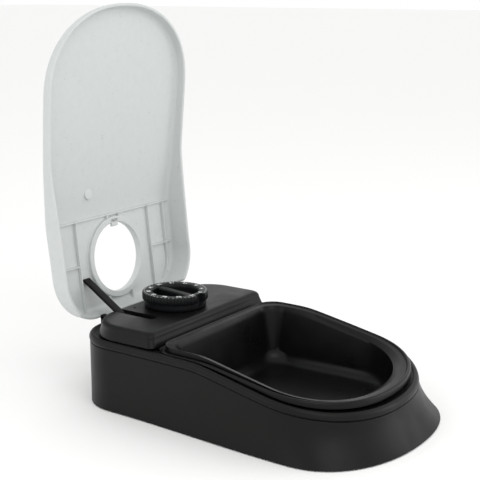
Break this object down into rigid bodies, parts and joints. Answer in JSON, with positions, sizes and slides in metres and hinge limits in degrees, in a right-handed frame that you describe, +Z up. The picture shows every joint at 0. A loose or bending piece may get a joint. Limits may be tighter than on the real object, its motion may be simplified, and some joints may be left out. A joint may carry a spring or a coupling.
{
  "type": "automatic pet feeder",
  "caption": "Single-meal dry food feeder: flared base with lift-out bowl, timer housing with an hour dial, and a lid that a sprung arm pushes open.",
  "frame": {"origin": "on the floor, in the middle of the whole footprint with the lid open", "axes": "+Z up, -Y toward the bowl's nose where the pet eats, +Y toward the hinge, +X to the right seen from the bowl end"},
  "size_m": [0.1606, 0.267, 0.2808],
  "materials": {
    "black_plastic": "satin moulded",
    "bowl_plastic": "satin moulded",
    "lid_plastic": "satin, lightly speckled",
    "dial_plastic": "satin with white marks",
    "arm_plastic": "satin",
    "foot_rubber": "matt",
    "screw_steel": "zinc plated",
    "spring_steel": "drawn wire",
    "case_plastic": "plain moulded",
    "gear_plastic": "natural acetal",
    "magnet": "sintered",
    "soft_iron": "stamped",
    "copper_winding": "enamelled wire",
    "board_green": "printed board",
    "crystal_can": "plated can",
    "cell_sleeve": "plain sleeve",
    "contact_plate": "nickel plated",
    "red_sleeve": "insulated lead",
    "black_sleeve": "insulated lead"
  },
  "bodies": {
    "base": {"base_shell": "black_plastic", "bottom_plate": "black_plastic", "rubber_feet": "foot_rubber", "bottom_screws": "screw_steel", "deck_cover": "black_plastic", "deck_screws": "screw_steel", "hinge_pins": "screw_steel", "arm_pivot_pin": "screw_steel", "arm_spring": "spring_steel", "timer_case": "case_plastic", "timer_case_cover": "case_plastic", "timer_screws": "screw_steel", "wheel_pins": "screw_steel", "stator": "soft_iron", "coil": "copper_winding", "circuit_board": "board_green", "quartz_crystal": "crystal_can", "battery_cell": "cell_sleeve", "positive_contact": "contact_plate", "negative_contact": "contact_plate", "positive_lead": "red_sleeve", "negative_lead": "black_sleeve"},
    "lid": {"lid": "lid_plastic"},
    "lift_arm": {"lift_arm": "arm_plastic"},
    "dial": {"dial": "dial_plastic", "dial_arbor": "gear_plastic", "clutch_washer": "spring_steel", "arbor_clip": "spring_steel"},
    "output_wheel": {"output_wheel": "gear_plastic"},
    "intermediate_wheel": {"intermediate_wheel": "gear_plastic"},
    "rotor": {"rotor": "magnet"},
    "bowl": {"bowl": "bowl_plastic"},
    "battery_cover": {"battery_cover": "black_plastic"}
  },
  "joints": [
    {"name": "lid_hinge", "type": "hinge", "parent": "base", "child": "lid", "pos_m": [0, 0.109, 0.0543], "axis": [-1, 0, 0], "range_deg": [-97, 0]},
    {"name": "arm_pivot", "type": "hinge", "parent": "base", "child": "lift_arm", "pos_m": [-0.036, 0.0877, 0.057], "axis": [-1, 0, 0], "range_deg": [-135, 0]},
    {"name": "dial_turn", "type": "hinge", "parent": "base", "child": "dial", "pos_m": [0, 0.0703, 0.0732], "axis": [0, 0, 1], "range_deg": [0, 345]},
    {"name": "output_wheel_spin", "type": "hinge", "parent": "base", "child": "output_wheel", "pos_m": [0, 0.0703, 0.054], "axis": [0, 0, 1], "continuous": true},
    {"name": "intermediate_wheel_spin", "type": "hinge", "parent": "base", "child": "intermediate_wheel", "pos_m": [0.0203, 0.06291, 0.054], "axis": [0, 0, 1], "continuous": true},
    {"name": "rotor_spin", "type": "hinge", "parent": "base", "child": "rotor", "pos_m": [0.02801, 0.0721, 0.05], "axis": [0, 0, 1], "continuous": true},
    {"name": "bowl_lift", "type": "slide", "parent": "base", "child": "bowl", "axis": [0, 0, 1], "range_m": [0, 0.06]},
    {"name": "battery_cover_slide", "type": "slide", "parent": "base", "child": "battery_cover", "axis": [0, 1, 0], "range_m": [0, 0.012]}
  ],
  "couplings": [
    {"joint": "arm_pivot", "follows": "lid_hinge", "ratio": 1.3906},
    {"joint": "intermediate_wheel_spin", "follows": "output_wheel_spin", "ratio": -5},
    {"joint": "rotor_spin", "follows": "output_wheel_spin", "ratio": 20}
  ]
}
